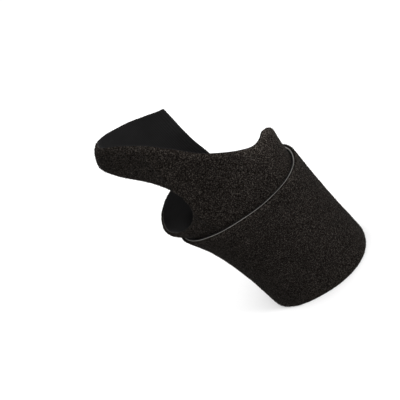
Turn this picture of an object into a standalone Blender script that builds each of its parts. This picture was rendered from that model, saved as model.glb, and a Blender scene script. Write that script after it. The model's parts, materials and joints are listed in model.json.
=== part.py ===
"""Wrist support brace: one laminated strip wound about two turns round the wrist.

The strip starts on the back of the wrist beside the thumb, passes the thumb hole,
crosses the palm, goes round the little-finger side and the back, and then makes a
second, plain turn over the first. A flap with hook tape closes it on the back.

Frame: the brace stands on its wrist-end rim at z = 0. +Z points to the fingers,
-Y is the palm side, +Y the back of the hand, -X the thumb side.
Every panel has three layers: lining, foam core and loop face, from the skin outwards.
Angles run once round per turn of the winding: 90 is the back, 180 the thumb side,
270 the palm, 360 the little-finger side, and they keep growing on the second turn.
"""

import math

import bmesh
import bpy
from mathutils import Vector

MM = 0.001

# Axis of the wrist at the rim, from the origin under the middle of the whole brace
WRIST_X = 10.08 * MM
WRIST_Y = -3.46 * MM

# Laminate, from the skin outwards
LINING = 0.4 * MM
CORE = 1.8 * MM
FACE = 0.6 * MM
LAYER_GAP = 0.3 * MM
LAMINATE = LINING + CORE + FACE + 2 * LAYER_GAP
TURN_GAP = 0.4 * MM
TURN_STEP = LAMINATE + TURN_GAP
SKIN_TRIM = 0.3 * MM

# Winding
CUFF_HEIGHT = 76 * MM
START_ANGLE = 88.5
STEP_UP = (424.0, 446.0)
FLAP_LIFT = (778.0, 788.0)
FLAP_LIFT_HEIGHT = 1.9 * MM
SEAM_HALF_ANGLE = 0.33

# Fold lines: x of each vertical hinge line, from the wrist's axis
START_FOLD_X = -22 * MM
BACK_FOLD_X = 18 * MM
RADIAL_FOLD_X = -16 * MM
PALM_FOLD_X = -16 * MM
ULNAR_FOLD_X = 18 * MM
CLOSURE_FOLD_X = 18 * MM
FLAP_END_X = -14 * MM
AXIS_MARGIN = 0.2 * MM
PEEL_AXIS_MARGIN = 0.8 * MM

# Seams between the panels of the first turn
PALM_SEAM = 256.6
ULNAR_SEAM = 309.0

# Cross-sections of the hand form, which the lining lies on. Columns: height,
# reach to the thumb side, reach to the little-finger side, half depth, centre y
ROUNDNESS = 2.3
FORM = [
    (0, 28.1, 29.2, 22.40, 0.00),
    (20, 29.0, 28.8, 22.30, 0.10),
    (40, 31.2, 28.4, 22.20, 0.20),
    (58, 35.6, 28.4, 22.20, 0.35),
    (70, 40.6, 28.8, 22.30, 0.42),
    (76, 43.8, 29.2, 22.36, 0.42),
    (80, 48.8, 29.6, 22.30, 0.42),
    (84, 52.4, 30.1, 22.10, 0.42),
    (90, 53.8, 30.9, 21.70, 0.42),
    (97, 54.2, 31.3, 21.00, 0.42),
    (115, 54.2, 28.9, 19.00, 0.42),
    (140, 52.7, 28.4, 16.20, 0.42),
    (147, 50.0, 28.2, 15.60, 0.42),
    (155, 45.0, 28.0, 15.00, 0.42),
]

# Finger-side edge of the first turn: angle, height
FINGER_EDGE = [
    (80, 136), (100, 142), (130, 148), (160, 151.5), (198, 152.3), (231, 150.3),
    (247, 146.2), (263, 139), (273, 130), (284, 120.4), (296, 113.2), (310, 106.5),
    (323, 102.4), (337, 101.5), (352, 101.6), (370, 96.5), (390, 88), (420, 79.5),
    (435, 77), (450, 76), (470, 76),
]

# Thumb hole
HOLE_START = 107.5
HOLE_MIDDLE = 192.0
HOLE_END = 256.5
HOLE_ROUNDNESS = 2.3
HOLE_HALF_ABOVE = 27.2 * MM
HOLE_HALF_BELOW = 26.6 * MM
HOLE_CENTRE = 114 * MM
HOLE_SLANT = 12 * MM
HOLE_DROOP = 18 * MM
HOLE_PINCH = 0.25 * MM
HOLE_SAG = 3 * MM
HOLE_SAG_CENTRE = -0.1
HOLE_SAG_REACH = 0.65

# Hook tape under the closing flap
HOOK_BASE = 0.5 * MM
HOOK_HEIGHT = 0.7 * MM
HOOK_ROWS = 21
HOOK_MARGIN = 5 * MM
HOOK_SPAN = (789.0, 815.5)
THREAD_RADIUS = 0.3 * MM
STITCH_PITCH = 3.5 * MM
THREAD_SIDES = 6
SEAM_INSET = 3 * MM
SEAM_INSET_ANGLE = 1.5
FLAP_CORNER = 9 * MM

# Mesh density: rows up to the cuff line and rows above it
DEGREES_PER_COLUMN = 7.5
CUFF_ROWS = (4, 0)
SIDE_ROWS = (4, 3)
TALL_ROWS = (4, 6)
STRAP_ROWS = (0, 4)

# Linear colour, roughness
LOOP_BLACK = ((0.0125, 0.0105, 0.0085), 0.95)
FOAM_GREY = ((0.070, 0.070, 0.068), 0.85)
LINING_BLACK = ((0.010, 0.010, 0.011), 0.80)
HOOK_BLACK = ((0.014, 0.014, 0.015), 0.45)
THREAD_BLACK = ((0.016, 0.015, 0.014), 0.60)


def clear_scene():
    for item in list(bpy.data.objects):
        bpy.data.objects.remove(item, do_unlink=True)


def make_material(name, look):
    colour, roughness = look
    material = bpy.data.materials.new(name)
    material.use_nodes = True
    shader = material.node_tree.nodes["Principled BSDF"]
    shader.inputs["Base Color"].default_value = (*colour, 1.0)
    shader.inputs["Roughness"].default_value = roughness
    shader.inputs["Metallic"].default_value = 0.0
    return material


def mix(low, high, share):
    return low + (high - low) * share


def ease(share):
    share = min(max(share, 0.0), 1.0)
    return share * share * (3 - 2 * share)


def smooth_through(points, place):
    """Height of a smooth curve through (place, value) points."""
    last = len(points) - 2
    index = 0
    while index < last and place > points[index + 1][0]:
        index += 1

    def slope(at):
        before = points[max(at - 1, 0)]
        after = points[min(at + 1, len(points) - 1)]
        return (after[1] - before[1]) / (after[0] - before[0])

    (x0, y0), (x1, y1) = points[index], points[index + 1]
    width = x1 - x0
    share = min(max((place - x0) / width, 0.0), 1.0)
    rise = ease(share)
    lead = share * (1 - share) ** 2 * slope(index) * width
    tail = share ** 2 * (share - 1) * slope(index + 1) * width
    return mix(y0, y1, rise) + lead + tail


def form_value(z, column):
    """One column of FORM at a height."""
    return smooth_through([(row[0], row[column]) for row in FORM], z / MM) * MM


def section(z):
    """Centre x, centre y, half width and half depth of the form at a height."""
    thumb, little, depth, centre_y = (form_value(z, column) for column in range(1, 5))
    centre_x = WRIST_X + (little - thumb) / 2
    return centre_x, WRIST_Y + centre_y, (little + thumb) / 2, depth


def rounded(value):
    return math.copysign(abs(value) ** (2 / ROUNDNESS), value)


def surface_point(angle, z, offset):
    """Point on the form, raised by the offset."""
    centre_x, centre_y, half_width, half_depth = section(z)
    turn = math.radians(angle)
    x = centre_x + (half_width + offset) * rounded(math.cos(turn))
    y = centre_y + (half_depth + offset) * rounded(math.sin(turn))
    return Vector((x, y, z))


def angle_at_x(x, z, offset, side, turn):
    """Winding angle where the raised form crosses x, on the back or the palm side."""
    centre_x, _, half_width, _ = section(z)
    reach = (WRIST_X + x - centre_x) / (half_width + offset)
    reach = min(max(reach, -1.0), 1.0)
    cosine = math.copysign(abs(reach) ** (ROUNDNESS / 2), reach)
    angle = math.degrees(math.acos(cosine))
    if side == "palm":
        angle = 360 - angle
    return angle + 360 * turn


def layer_offset(angle):
    """Offset of the laminate's skin side from the form at a winding angle."""
    offset = TURN_STEP * ease((angle - STEP_UP[0]) / (STEP_UP[1] - STEP_UP[0]))
    second = (angle - 360 - STEP_UP[0]) / (STEP_UP[1] - STEP_UP[0])
    lift = (angle - FLAP_LIFT[0]) / (FLAP_LIFT[1] - FLAP_LIFT[0])
    return offset + TURN_STEP * ease(second) + FLAP_LIFT_HEIGHT * ease(lift)


def fold_line(x, side, turn, layers):
    """Winding angle of a vertical fold line, as a function of height."""
    offset = TURN_STEP * layers + LAMINATE / 2
    return lambda z: angle_at_x(x, z, offset, side, turn)


def seam_line(angle):
    return lambda z: angle


def fold_axis(x, side, layers, margin=AXIS_MARGIN):
    """A point on the hinge axis, just outside the laminate along the fold line."""
    offset = TURN_STEP * layers + LAMINATE
    depths = []
    for z in (0.0, CUFF_HEIGHT / 2, CUFF_HEIGHT):
        angle = angle_at_x(x, z, offset, side, 0)
        depths.append(surface_point(angle, z, offset).y)
    if side == "palm":
        return Vector((WRIST_X + x, min(depths) - margin, 0))
    return Vector((WRIST_X + x, max(depths) + margin, 0))


def ulnar_axis():
    """Hinge axis of the second turn on the little-finger side."""
    centre_x, _, half_width, _ = section(0.0)
    reach = centre_x + half_width + TURN_STEP + LAMINATE
    return Vector((reach + AXIS_MARGIN, section(CUFF_HEIGHT)[1], 0))


def finger_edge(angle):
    return smooth_through(FINGER_EDGE, angle) * MM


def hole_share(angle):
    """Place across the thumb hole: -1 at its back end, 1 at its palm end."""
    if angle < HOLE_MIDDLE:
        return max((angle - HOLE_MIDDLE) / (HOLE_MIDDLE - HOLE_START), -1.0)
    return min((angle - HOLE_MIDDLE) / (HOLE_END - HOLE_MIDDLE), 1.0)


def hole_edge(angle, side, half_height):
    """Height of the thumb hole's edge: side is -1 below and 1 above."""
    share = hole_share(angle)
    centre = HOLE_CENTRE - HOLE_SLANT * share
    if share < 0:
        centre -= HOLE_DROOP * share * share
    full = max(1 - abs(share) ** HOLE_ROUNDNESS, 0.0) ** (1 / HOLE_ROUNDNESS)
    return centre + side * max(half_height * full, HOLE_PINCH)


def hole_floor(angle):
    """Lower edge of the thumb hole, pressed down a little under the thumb."""
    spread = abs(hole_share(angle) - HOLE_SAG_CENTRE) / HOLE_SAG_REACH
    return hole_edge(angle, -1, HOLE_HALF_BELOW) - HOLE_SAG * ease(1 - spread)


def hole_roof(angle):
    return hole_edge(angle, 1, HOLE_HALF_ABOVE)


def rim(angle):
    return 0.0


def cuff_top(angle):
    return CUFF_HEIGHT


def flap_bottom(angle):
    return flap_corner_rise(angle)


def flap_top(angle):
    return CUFF_HEIGHT - flap_corner_rise(angle)


def flap_corner_rise(angle):
    """How far the flap's rounded corner has eaten into its height at an angle."""
    end = angle_at_x(FLAP_END_X, CUFF_HEIGHT / 2, 2 * TURN_STEP, "back", 2)
    here = surface_point(angle, CUFF_HEIGHT / 2, 2 * TURN_STEP).x
    tip = surface_point(end, CUFF_HEIGHT / 2, 2 * TURN_STEP).x
    reach = min(max((here - tip) / FLAP_CORNER, 0.0), 1.0)
    return FLAP_CORNER * (1 - math.sqrt(1 - (1 - reach) ** 2))


def panel_rows(low, high, rows):
    """Heights of a panel's rows: rows up to the cuff line, then rows above it."""
    cuff_rows, upper_rows = rows
    if cuff_rows and upper_rows:
        lower = [mix(low, CUFF_HEIGHT, step / cuff_rows) for step in range(cuff_rows)]
        return lower + panel_rows(CUFF_HEIGHT, high, (0, upper_rows))
    count = cuff_rows + upper_rows
    return [mix(low, high, step / count) for step in range(count + 1)]


def panel_grid(start, end, bottom, top, rows, nominal):
    """Angle and height of every grid point of a panel, column by column."""
    first = start(nominal) + SEAM_HALF_ANGLE
    last = end(nominal) - SEAM_HALF_ANGLE
    columns = max(2, round((last - first) / DEGREES_PER_COLUMN))
    grid = []
    for column in range(columns + 1):
        share = column / columns
        place = mix(first, last, share)
        column_points = []
        for z in panel_rows(bottom(place), top(place), rows):
            low = start(z) + SEAM_HALF_ANGLE
            high = end(z) - SEAM_HALF_ANGLE
            column_points.append((mix(low, high, share), z))
        grid.append(column_points)
    return grid


def shell_from_grid(mesh_name, grid, inner, outer, origin):
    """Closed shell over a grid; inner and outer give each point's offset."""
    shell = bmesh.new()
    sheets = []
    for offset in (inner, outer):
        sheet = []
        for column in grid:
            line = []
            for row, (angle, z) in enumerate(column):
                line.append(shell.verts.new(surface_point(angle, z, offset(angle, row)) - origin))
            sheet.append(line)
        sheets.append(sheet)
    columns, rows = len(grid), len(grid[0])
    for column in range(columns - 1):
        for row in range(rows - 1):
            corners = [(column, row), (column, row + 1), (column + 1, row + 1), (column + 1, row)]
            shell.faces.new([sheets[0][i][j] for i, j in corners])
            shell.faces.new([sheets[1][i][j] for i, j in reversed(corners)])
    border = [(column, 0) for column in range(columns)]
    border += [(columns - 1, row) for row in range(1, rows)]
    border += [(column, rows - 1) for column in range(columns - 2, -1, -1)]
    border += [(0, row) for row in range(rows - 2, 0, -1)]
    for here, after in zip(border, border[1:] + border[:1]):
        inside = [sheets[0][i][j] for i, j in (here, after)]
        outside = [sheets[1][i][j] for i, j in (after, here)]
        shell.faces.new(inside + outside)
    bmesh.ops.triangulate(shell, faces=shell.faces[:])
    bmesh.ops.recalc_face_normals(shell, faces=shell.faces[:])
    mesh = bpy.data.meshes.new(mesh_name)
    shell.to_mesh(mesh)
    shell.free()
    mesh.shade_smooth()
    mesh.set_sharp_from_angle(angle=math.radians(40))
    return mesh


def add_object(name, mesh, material, body):
    """Adds a piece whose mesh is measured from its body's fold axis."""
    piece = bpy.data.objects.new(name, mesh)
    bpy.context.scene.collection.objects.link(piece)
    piece.data.materials.append(material)
    piece.parent = body
    return piece


def add_fold(name, axis, parent):
    """Empty on a fold axis, hung from the parent body's own empty."""
    empty = bpy.data.objects.new(name, None)
    bpy.context.scene.collection.objects.link(empty)
    empty.parent = parent
    empty.location = axis - (fold_place(parent) if parent else Vector((0, 0, 0)))
    return empty


def fold_place(empty):
    """World place of a fold's empty."""
    place = Vector((0, 0, 0))
    while empty:
        place += empty.location
        empty = empty.parent
    return place


def add_layers(name, grid, body, looks):
    """The lining, foam core and loop face of one panel; only the core meets the rim."""
    trimmed = [[(angle, max(z, SKIN_TRIM)) for angle, z in column] for column in grid]
    skin = 0.0
    for layer, thickness in (("lining", LINING), ("foam_core", CORE), ("loop_face", FACE)):
        low, high = skin, skin + thickness
        node = f"{layer}_{name}"
        mesh = shell_from_grid(
            node,
            grid if layer == "foam_core" else trimmed,
            lambda angle, row, level=low: layer_offset(angle) + level,
            lambda angle, row, level=high: layer_offset(angle) + level,
            fold_place(body),
        )
        add_object(node, mesh, looks[layer], body)
        skin = high + LAYER_GAP


def add_first_turn(body, looks):
    """Thumb base, thumb strap, palm and little-finger side, which stay in place."""
    start_fold = fold_line(START_FOLD_X, "back", 0, 0)
    palm_seam = seam_line(PALM_SEAM)
    ulnar_seam = seam_line(ULNAR_SEAM)
    back_fold = fold_line(BACK_FOLD_X, "back", 1, 0)
    base = panel_grid(start_fold, palm_seam, rim, hole_floor, SIDE_ROWS, HOLE_CENTRE)
    strap = panel_grid(start_fold, palm_seam, hole_roof, finger_edge, STRAP_ROWS, HOLE_CENTRE)
    palm = panel_grid(palm_seam, ulnar_seam, rim, finger_edge, TALL_ROWS, CUFF_HEIGHT)
    ulnar = panel_grid(ulnar_seam, back_fold, rim, finger_edge, SIDE_ROWS, CUFF_HEIGHT)
    add_layers("thumb_base", base, body, looks)
    add_layers("thumb_strap", strap, body, looks)
    add_layers("palm", palm, body, looks)
    add_layers("little_finger_side", ulnar, body, looks)


def add_start_flap(root, looks):
    """The strip's inner end, on the back of the wrist under the second turn."""
    body = add_fold("start_fold", fold_axis(START_FOLD_X, "back", 0), root)
    end = fold_line(START_FOLD_X, "back", 0, 0)
    grid = panel_grid(seam_line(START_ANGLE), end, rim, finger_edge, TALL_ROWS, HOLE_CENTRE)
    add_layers("start_flap", grid, body, looks)


def add_second_turn(root, looks):
    """Back, thumb-side, palm and little-finger-side panels of the outer turn."""
    back = add_fold("back_fold", fold_axis(BACK_FOLD_X, "back", 0), root)
    radial = add_fold("radial_fold", fold_axis(RADIAL_FOLD_X, "back", 1), back)
    palm = add_fold("palm_fold", fold_axis(PALM_FOLD_X, "palm", 1), radial)
    front = add_fold("ulnar_front_fold", fold_axis(ULNAR_FOLD_X, "palm", 1), palm)
    rear = add_fold("ulnar_back_fold", ulnar_axis(), front)
    lines = [
        fold_line(BACK_FOLD_X, "back", 1, 0),
        fold_line(RADIAL_FOLD_X, "back", 1, 1),
        fold_line(PALM_FOLD_X, "palm", 1, 1),
        fold_line(ULNAR_FOLD_X, "palm", 1, 1),
        seam_line(720.0),
        fold_line(CLOSURE_FOLD_X, "back", 2, 1),
    ]
    names = ["back", "outer_thumb_side", "outer_palm", "outer_ulnar_front", "outer_ulnar_back"]
    bodies = [back, radial, palm, front, rear]
    for name, body, start, end in zip(names, bodies, lines, lines[1:]):
        top = finger_edge if name == "back" else cuff_top
        grid = panel_grid(start, end, rim, top, CUFF_ROWS, CUFF_HEIGHT / 2)
        add_layers(name, grid, body, looks)
    return rear


def add_closure(rear, looks):
    """The closing flap on the back of the wrist, with its hook tape and thread."""
    axis = fold_axis(CLOSURE_FOLD_X, "back", 1, PEEL_AXIS_MARGIN)
    body = add_fold("closure_fold", axis, rear)
    start = fold_line(CLOSURE_FOLD_X, "back", 2, 1)
    end = fold_line(FLAP_END_X, "back", 2, 2)
    grid = panel_grid(start, end, flap_bottom, flap_top, CUFF_ROWS, CUFF_HEIGHT / 2)
    add_layers("closure_flap", grid, body, looks)
    add_hook_tape(body, looks["hook"])
    add_seam_thread(body, looks["thread"])


def add_hook_tape(body, material):
    """Ribbed hook tape on the skin side of the flap: its ribs stand for hook rows."""
    low, high = HOOK_MARGIN, CUFF_HEIGHT - HOOK_MARGIN
    rows = []
    for row in range(HOOK_ROWS):
        for edge in (0.12, 0.3, 0.7, 0.88):
            rows.append(mix(low, high, (row + edge) / HOOK_ROWS))
    first, last = HOOK_SPAN
    columns = round((last - first) / DEGREES_PER_COLUMN)
    grid = []
    for column in range(columns + 1):
        angle = mix(first, last, column / columns)
        grid.append([(angle, z) for z in rows])

    def tips(angle, row):
        rib = HOOK_HEIGHT if row % 4 in (1, 2) else 0.0
        return layer_offset(angle) - LAYER_GAP - HOOK_BASE - rib

    def back(angle, row):
        return layer_offset(angle) - LAYER_GAP

    mesh = shell_from_grid("hook_tape", grid, tips, back, fold_place(body))
    add_object("hook_tape", mesh, material, body)


def seam_path():
    """Angle and height of points round the box seam, a stitch apart."""
    first, last = HOOK_SPAN[0] + SEAM_INSET_ANGLE, HOOK_SPAN[1] - SEAM_INSET_ANGLE
    low = HOOK_MARGIN + SEAM_INSET
    high = CUFF_HEIGHT - low
    corners = [(first, low), (first, high), (last, high), (last, low)]
    path = []
    for here, after in zip(corners, corners[1:] + corners[:1]):
        ends = [surface_point(angle, z, 0) for angle, z in (here, after)]
        stitches = max(1, round((ends[1] - ends[0]).length / STITCH_PITCH))
        for step in range(stitches):
            share = step / stitches
            path.append((mix(here[0], after[0], share), mix(here[1], after[1], share)))
    return path


def add_seam_thread(body, material):
    """Closed loop of thread on the flap's loop face, holding the hook tape."""
    thread = bmesh.new()
    centres, normals = [], []
    for angle, z in seam_path():
        height = layer_offset(angle) + LAMINATE + LAYER_GAP + THREAD_RADIUS
        centre = surface_point(angle, z, height)
        centres.append(centre)
        normals.append((surface_point(angle, z, height + MM) - centre).normalized())
    rings = []
    for index, (centre, normal) in enumerate(zip(centres, normals)):
        after = centres[(index + 1) % len(centres)]
        along = (after - centres[index - 1]).normalized()
        sideways = along.cross(normal).normalized()
        upward = sideways.cross(along)
        ring = []
        for side in range(THREAD_SIDES):
            turn = 2 * math.pi * side / THREAD_SIDES
            spread = upward * math.cos(turn) + sideways * math.sin(turn)
            place = centre + spread * THREAD_RADIUS - fold_place(body)
            ring.append(thread.verts.new(place))
        rings.append(ring)
    for ring, after in zip(rings, rings[1:] + rings[:1]):
        for side in range(THREAD_SIDES):
            nearby = (side + 1) % THREAD_SIDES
            thread.faces.new([ring[side], ring[nearby], after[nearby], after[side]])
    bmesh.ops.triangulate(thread, faces=thread.faces[:])
    bmesh.ops.recalc_face_normals(thread, faces=thread.faces[:])
    mesh = bpy.data.meshes.new("closure_thread")
    thread.to_mesh(mesh)
    thread.free()
    mesh.shade_smooth()
    add_object("closure_thread", mesh, material, body)


def build():
    clear_scene()
    looks = {
        "loop_face": make_material("loop_face", LOOP_BLACK),
        "foam_core": make_material("foam_core", FOAM_GREY),
        "lining": make_material("lining", LINING_BLACK),
        "hook": make_material("hook_tape", HOOK_BLACK),
        "thread": make_material("thread", THREAD_BLACK),
    }
    root = add_fold("brace", Vector((0, 0, 0)), None)
    add_first_turn(root, looks)
    add_start_flap(root, looks)
    rear = add_second_turn(root, looks)
    add_closure(rear, looks)


build()
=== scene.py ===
"""Looks of the wrist support brace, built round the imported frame.

The brace is one laminated strip: a loop-pile face, a foam core and a jersey lining.
It is wound about two turns round a wrist and closed by a hook-tape flap on the back.
A place on the strip is a winding angle in degrees and a height in metres. The angle
grows from the strip's inner end (88.5) through the thumb side (180), palm (270) and
little-finger side (360), and on over the second turn to the closing flap (810).
"""

import json
import math

import bpy
import numpy as np
from mathutils import Matrix, Vector, kdtree


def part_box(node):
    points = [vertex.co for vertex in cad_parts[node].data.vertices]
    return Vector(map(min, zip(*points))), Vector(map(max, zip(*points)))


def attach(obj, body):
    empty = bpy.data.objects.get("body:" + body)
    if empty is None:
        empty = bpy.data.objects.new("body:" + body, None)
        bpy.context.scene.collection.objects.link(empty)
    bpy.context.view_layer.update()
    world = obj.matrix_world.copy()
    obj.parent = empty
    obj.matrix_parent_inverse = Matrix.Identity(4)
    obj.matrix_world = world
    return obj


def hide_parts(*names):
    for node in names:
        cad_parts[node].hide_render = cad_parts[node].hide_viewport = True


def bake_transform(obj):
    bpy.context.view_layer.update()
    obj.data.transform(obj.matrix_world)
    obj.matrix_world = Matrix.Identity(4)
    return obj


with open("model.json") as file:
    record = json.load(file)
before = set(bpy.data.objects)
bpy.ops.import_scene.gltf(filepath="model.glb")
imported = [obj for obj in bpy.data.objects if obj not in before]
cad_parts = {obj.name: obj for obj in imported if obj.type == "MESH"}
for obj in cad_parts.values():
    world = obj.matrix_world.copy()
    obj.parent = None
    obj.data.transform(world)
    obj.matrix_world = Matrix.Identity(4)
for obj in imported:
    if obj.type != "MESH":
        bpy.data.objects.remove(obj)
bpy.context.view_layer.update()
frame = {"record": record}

MM = 0.001

# ------------ sizes from the frame

MOUNTS = {mount["name"]: mount for mount in frame["record"]["mounts"]}
WRIST_X, WRIST_Y, _ = MOUNTS["worn_on_wrist"]["pos_m"]
CUFF_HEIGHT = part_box("foam_core_outer_palm")[1].z

# Laminate, from the skin outwards: each layer's lowest and highest offset
LAMINATE = 3.4 * MM
TURN_STEP = 3.8 * MM
LAYER_GAP = 0.03 * MM
LAYERS = {
    "lining": (0.0, 0.55 * MM),
    "foam": (0.58 * MM, 2.45 * MM),
    "face": (2.48 * MM, 3.3 * MM),
}
SPACING = {"face": 0.7 * MM, "foam": 1.5 * MM, "lining": 1.0 * MM}

# The winding
START_ANGLE = 88.5
STEP_UP = (424.0, 446.0)
FLAP_LIFT = (778.0, 788.0)
FLAP_LIFT_HEIGHT = 1.9 * MM
FLAP_END_X = -14 * MM
FLAP_CORNER = 9 * MM
MEAN_RADIUS = 33 * MM

# Cross-sections of the hand form. Columns: height, reach to the thumb side, reach to
# the little-finger side, half depth, centre y, all in millimetres
ROUNDNESS = 2.3
FORM = np.array([
    (0, 28.1, 29.2, 22.40, 0.00),
    (20, 29.0, 28.8, 22.30, 0.10),
    (40, 31.2, 28.4, 22.20, 0.20),
    (58, 35.6, 28.4, 22.20, 0.35),
    (70, 40.6, 28.8, 22.30, 0.42),
    (76, 43.8, 29.2, 22.36, 0.42),
    (80, 48.8, 29.6, 22.30, 0.42),
    (84, 52.4, 30.1, 22.10, 0.42),
    (90, 53.8, 30.9, 21.70, 0.42),
    (97, 54.2, 31.3, 21.00, 0.42),
    (115, 54.2, 28.9, 19.00, 0.42),
    (140, 52.7, 28.4, 16.20, 0.42),
    (147, 50.0, 28.2, 15.60, 0.42),
    (155, 45.0, 28.0, 15.00, 0.42),
])

# Finger-side edge of the first turn: angle, height in millimetres
FINGER_EDGE = np.array([
    (80, 136), (100, 142), (130, 148), (160, 151.5), (198, 152.3), (231, 150.3),
    (247, 146.2), (263, 139), (273, 130), (284, 120.4), (296, 113.2), (310, 106.5),
    (323, 102.4), (337, 101.5), (352, 101.6), (370, 96.5), (390, 88), (420, 79.5),
    (435, 77), (450, 76), (470, 76),
])

# Thumb hole
HOLE_START = 107.5
HOLE_MIDDLE = 192.0
HOLE_END = 256.5
HOLE_ROUNDNESS = 2.3
HOLE_HALF_ABOVE = 27.2 * MM
HOLE_HALF_BELOW = 26.6 * MM
HOLE_CENTRE = 114 * MM
HOLE_SLANT = 12 * MM
HOLE_DROOP = 18 * MM
HOLE_SAG = 3 * MM
HOLE_SAG_CENTRE = -0.1
HOLE_SAG_REACH = 0.65

# Finger-side edge: the first turn's becomes the cuff's from EDGE_JOIN to SEAM_STEP. Over
# the palm the cuff's edge is drawn down a little
EDGE_JOIN = 420
EDGE_SAG = 1.1 * MM
SAG_STARTS = (500, 540)
SAG_ENDS = (715, 745)

# Every cut edge is rounded over ROLL_WIDTH: the face drops, and face and lining pinch the
# foam. Free edges of the first turn, above the cuff, are pressed thin instead
ROLL_WIDTH = 2.6 * MM
EDGE_DROP = 0.25 * MM
EDGE_PINCH = 0.70 * MM
ROLL_FADE = (432.0, 462.0)
ROLL_START = 60 * MM
ROLL_RISE = 10 * MM

# Rounded rim between a layer's two sides: share of the way across, share of the bulge
RIM_RINGS = [(0.2, 0.6), (0.5, 1.0), (0.8, 0.6)]
RIM_BULGE = 0.38 * MM
FOAM_BULGE = 0.25

# Unevenness, as waves of (length, seed, height)
SWELL = [(26 * MM, 3, 0.9 * MM), (10 * MM, 7, 0.28 * MM)]
SWELL_SMALL = [(6 * MM, 1, 0.05 * MM)]
FINGER_EDGE_WAVES = [(12 * MM, 5, 0.30 * MM)]
CUFF_EDGE_WAVES = [(14 * MM, 9, 0.12 * MM)]
LINING_KNIT = [(1.2 * MM, 23, 0.03 * MM)]
PILE = [(1.15 * MM, 11, 0.12 * MM), (0.62 * MM, 17, 0.10 * MM)]

# The swell grows above the cuff on the first turn; on the cuff only a share of it shows
FIRST_TURN_END = 430
SWELL_CLEARANCE = 3 * MM
SWELL_RISE = 14 * MM
CUFF_SWELL = 0.30
CUFF_SWELL_START = 470
CUFF_SWELL_FADE = 50

# Rubbing: how strong, and how far in from the edge; the heel of the palm has its own, stronger
# paling, which is a painted highlight
RUB = 0.22
RUB_REACH = 2.5 * MM
HEEL_HIGHLIGHT = 0.75
HEEL_HIGHLIGHT_REACH = 7 * MM
HEEL_STARTS = (295, 330)
HEEL_ENDS = (400, 420)

# Nets: distances of the rows beside a cut edge, and lengths that set the counts
EDGE_STEPS = [0.25 * MM, 0.6 * MM, 1.05 * MM, 1.6 * MM, 2.3 * MM]
COLUMN_RADIUS = 38 * MM
HOLE_LENGTH = 75 * MM
BELOW_HOLE = 96 * MM
ABOVE_HOLE = 34 * MM
CORNER_LENGTH = 16 * MM

# Hook tape under the closing flap, and the box of stitching that holds it
HOOK_ANGLES = (789.5, 815.0)
HOOK_MARGIN = 5 * MM
HOOK_BASE = 0.45 * MM
HOOK_HEIGHT = 0.75 * MM
HOOK_PITCH = 1.9 * MM
HOOK_WIRE = 0.10 * MM
HOOK_REACH = 0.45 * HOOK_HEIGHT
HOOK_TIP = 0.8 * math.pi
HOOK_STAGGER = 0.3
TAPE_SPACING = 1.2 * MM
TAPE_OVERLAP = 0.02 * MM
STITCH_PITCH = 3.2 * MM
STITCH_LENGTH = 2.7 * MM
STITCH_WIRE = 0.23 * MM
STITCH_INSET = 3 * MM
STITCH_END_INSET = 1 * MM
STITCH_RISE = 0.14 * MM
STITCH_DIP = 0.42 * MM
GROOVE_DEPTH = 0.22 * MM
GROOVE_WIDTH = 0.9 * MM

# Seams between pieces, each in the middle of a panel
SEAM_START = 163.0
SEAM_BACK = 388.0
SEAM_STEP = 444.0
SEAM_THUMB = 540.0
SEAM_PALM = 634.0
SEAM_ULNAR = 690.0
SEAM_FLAP = 750.0
SEAMS = [SEAM_START, SEAM_BACK, SEAM_STEP, SEAM_THUMB, SEAM_PALM, SEAM_ULNAR, SEAM_FLAP]


# ------------ numbers that vary smoothly

def ease(share):
    share = np.clip(share, 0.0, 1.0)
    return share * share * (3 - 2 * share)


def smooth_through(points, column, place):
    """Smooth curve through one column of points, for an array of places."""
    xs, ys = points[:, 0], points[:, column]
    place = np.asarray(place, float)
    index = np.clip(np.searchsorted(xs, place) - 1, 0, len(xs) - 2)
    before = np.maximum(np.arange(len(xs)) - 1, 0)
    after = np.minimum(np.arange(len(xs)) + 1, len(xs) - 1)
    slopes = (ys[after] - ys[before]) / (xs[after] - xs[before])
    width = xs[index + 1] - xs[index]
    share = np.clip((place - xs[index]) / width, 0.0, 1.0)
    level = ys[index] + (ys[index + 1] - ys[index]) * ease(share)
    lead = share * (1 - share) ** 2 * slopes[index] * width
    tail = share ** 2 * (share - 1) * slopes[index + 1] * width
    return level + lead + tail


def lattice_gradient(cell, seed):
    """A steady random direction for each whole-numbered cell corner."""
    key = (cell[:, 0] * 73856093) ^ (cell[:, 1] * 19349663) ^ (cell[:, 2] * 83492791)
    key = (key ^ (seed * 2654435761)) & 0xFFFFFFFF
    key = ((key ^ (key >> 15)) * 2246822519) & 0xFFFFFFFF
    key = ((key ^ (key >> 13)) * 3266489917) & 0xFFFFFFFF
    turn = (key & 0xFFFF) / 0xFFFF * 2 * math.pi
    height = ((key >> 16) & 0xFFFF) / 0xFFFF * 2 - 1
    flat = np.sqrt(1 - height ** 2)
    return np.stack([flat * np.cos(turn), flat * np.sin(turn), height], axis=1)


def waves(points, size, seed):
    """Smooth random numbers, about -1 to 1, at points in space; size is a wave's length."""
    place = np.asarray(points, float).reshape(-1, 3) / size
    base = np.floor(place).astype(np.int64)
    inside = place - base
    total = np.zeros(len(place))
    for corner in np.ndindex(2, 2, 2):
        away = inside - corner
        weight = np.prod(1 - ease(np.abs(away)), axis=1)
        total += weight * (lattice_gradient(base + corner, seed) * away).sum(axis=1)
    return (total * 1.9).reshape(np.shape(points)[:-1])


def relief(points, kinds):
    """Sum of waves, each given as (length, seed, height)."""
    return sum(height * waves(points, length, seed) for length, seed, height in kinds)


def relief_along(angle, kinds):
    """Relief of an edge that runs along the strip."""
    along = np.radians(angle) * MEAN_RADIUS
    return relief(np.stack([along, 0 * along, 0 * along], axis=-1), kinds)


# ------------ shape of the strip

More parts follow.
